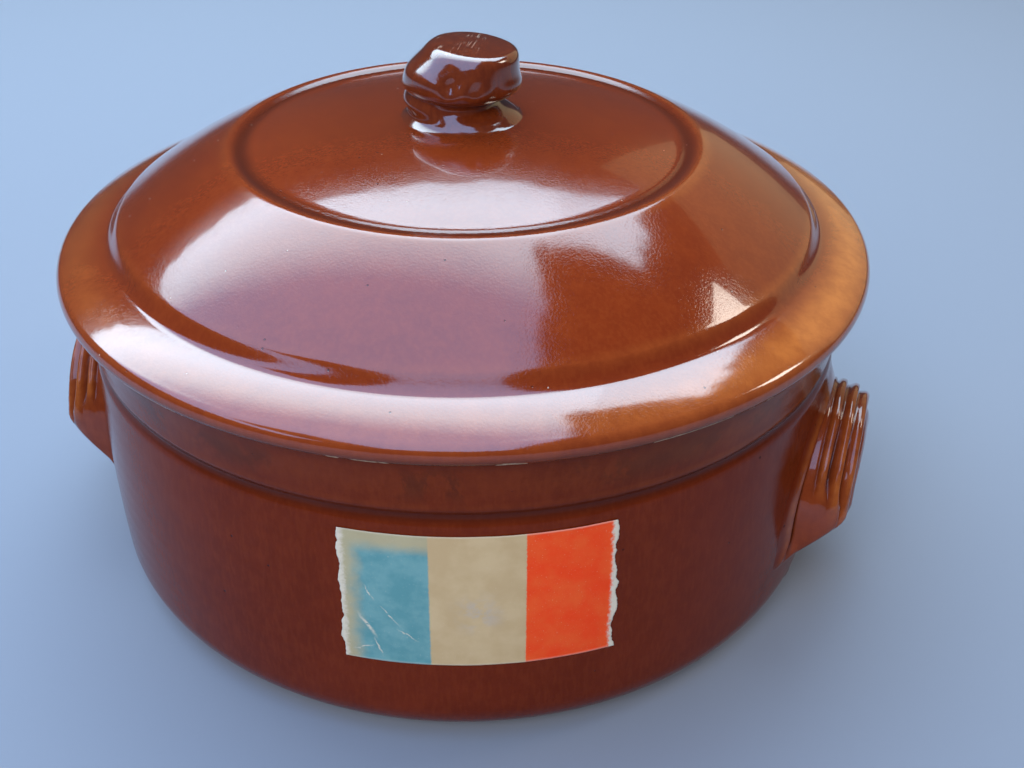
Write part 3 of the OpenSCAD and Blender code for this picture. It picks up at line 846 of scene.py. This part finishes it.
def makeFloor():
    mesh = bmesh.new()
    bmesh.ops.create_grid(mesh, x_segments=8, y_segments=8, size=floorLook["size"] / 2)
    data = bpy.data.meshes.new("floor")
    mesh.to_mesh(data)
    mesh.free()
    material, start = newMaterial("floorPaint")
    place = start.node("ShaderNodeTexCoord", out="Object")
    away = start.node("ShaderNodeVectorMath", {"operation": "LENGTH"}, {0: place}, out="Value")
    seen = start.node("ShaderNodeLightPath", out="Is Camera Ray")
    far = away.between(floorLook["farFrom"], floorLook["farTo"]) * seen  # runs out into the backdrop
    paint = start.plain(floorLook["colour"]).tint((0, 0, 0), far)
    distant = start.plain((0, 0, 0)).tint([worldLook["seen"] * part for part in worldLook["colour"]], far)
    finishMaterial(start, {"Base Color": paint, "Roughness": 0.9, "Specular IOR Level": 0.1,
                           "Emission Color": distant, "Emission Strength": 1.0})
    data.materials.append(material)
    floor = bpy.data.objects.new("floor", data)
    bpy.context.scene.collection.objects.link(floor)


def shapeWindow(lamp, turn):
    lamp.use_nodes = True
    start = Wire(lamp.node_tree)
    spot = start.node("ShaderNodeNewGeometry", out="Position")

    def along(axis):
        return start.node("ShaderNodeVectorMath", {"operation": "DOT_PRODUCT"}, {0: spot, 1: axis},
                          out="Value")

    across = along((cos(turn), sin(turn), 0))
    depth = along((-sin(turn), cos(turn), 0))
    fade, edges, soft = windowFade, windowEdges, windowEdges["soft"]
    share = (depth + across * fade["tilt"] - fade["near"]) / (fade["far"] - fade["near"])
    shade = start.node("ShaderNodeValToRGB", {"stops": fade["stops"]}, {"Fac": share}, out="Color")
    wave = (spot.cloud(*edges["waveNoise"]) - 0.5) * edges["wave"]
    x, y = across + wave, depth + wave
    clear = x.past(edges["left"], soft) * (1 - x.past(edges["right"] - soft, soft))
    clear = clear * (1 - y.past(edges["back"] - soft, soft))
    fromX, nearY = edges["rightCut"]
    clear = clear * (1 - x.past(fromX - soft, soft) * (1 - y.past(nearY, soft)))
    fromX, toX, nearY = edges["leftCut"]
    cut = x.past(fromX - soft, soft) * (1 - x.past(toX, soft))
    clear = clear * (1 - cut * (1 - y.past(nearY, soft)))
    shade = start.plain((0, 0, 0)).tint(shade, clear)
    lamp.node_tree.links.new(shade.socket, lamp.node_tree.nodes["Emission"].inputs["Color"])


def softBox(name, box, turn):
    wide, deep = box["size"]
    lamp = bpy.data.lights.new(name, "AREA")
    lamp.shape = "RECTANGLE"
    lamp.size, lamp.size_y = wide, deep
    lamp.energy = box["glow"] * pi * wide * deep
    lamp.color = box["tint"]
    if name.startswith("window"):
        shapeWindow(lamp, turn)
    thing = bpy.data.objects.new(name, lamp)
    place = Vector(box["place"])
    facing = -place if name in ("frontFill", "warmRight") else Vector((0, 0, -1))
    axes = facing.to_track_quat("-Z", "Y").to_matrix().to_4x4()
    thing.matrix_world = Matrix.Rotation(turn, 4, "Z") @ Matrix.Translation(place) @ axes
    thing.visible_glossy = name != "frontFill"  # the fill lights the front and leaves no reflection
    bpy.context.scene.collection.objects.link(thing)


def makeWorld():
    world = bpy.data.worlds.new("studio")
    bpy.context.scene.world = world
    world.use_nodes = True
    backdrop = world.node_tree.nodes["Background"]
    backdrop.inputs["Color"].default_value = (*worldLook["colour"], 1.0)
    seen = Wire(world.node_tree).node("ShaderNodeLightPath", out="Is Camera Ray")
    level = seen * (worldLook["seen"] - worldLook["strength"]) + worldLook["strength"]
    world.node_tree.links.new(level.socket, backdrop.inputs["Strength"])


# Camera from the photograph's perspective, in the part's frame
cameraSizes = {"focalPixels": 1200, "imageWide": 1024, "sensor": 36, "back": 336.7, "up": 262.4,
               "aside": -1.75, "yaw": 2.73, "pitch": 33.15, "roll": -0.573, "turn": 14}


def makeCamera():
    s = cameraSizes
    yaw, pitch, roll = (radians(s[k]) for k in ("yaw", "pitch", "roll"))
    forward = Vector((sin(yaw) * cos(pitch), cos(yaw) * cos(pitch), -sin(pitch)))
    right = Vector((cos(yaw), -sin(yaw), 0))
    down = forward.cross(right)
    right, down = cos(roll) * right + sin(roll) * down, cos(roll) * down - sin(roll) * right
    axes = Matrix((right, -down, -forward)).transposed().to_4x4()
    lens = bpy.data.cameras.new("photoCamera")
    lens.sensor_fit = "HORIZONTAL"
    lens.sensor_width = s["sensor"]
    lens.lens = s["sensor"] * s["focalPixels"] / s["imageWide"]
    lens.clip_start = 0.01
    camera = bpy.data.objects.new("photoCamera", lens)
    place = Vector((s["aside"], -s["back"], s["up"])) * mm
    camera.matrix_world = Matrix.Rotation(radians(s["turn"]), 4, "Z") @ Matrix.Translation(place) @ axes
    bpy.context.scene.collection.objects.link(camera)
    bpy.context.scene.camera = camera


makeFloor()
makeWorld()
for boxName, box in softBoxes.items():
    softBox(boxName, box, radians(cameraSizes["turn"]))
makeCamera()
bpy.context.scene.view_settings.view_transform = "Standard"
print("light and camera set")
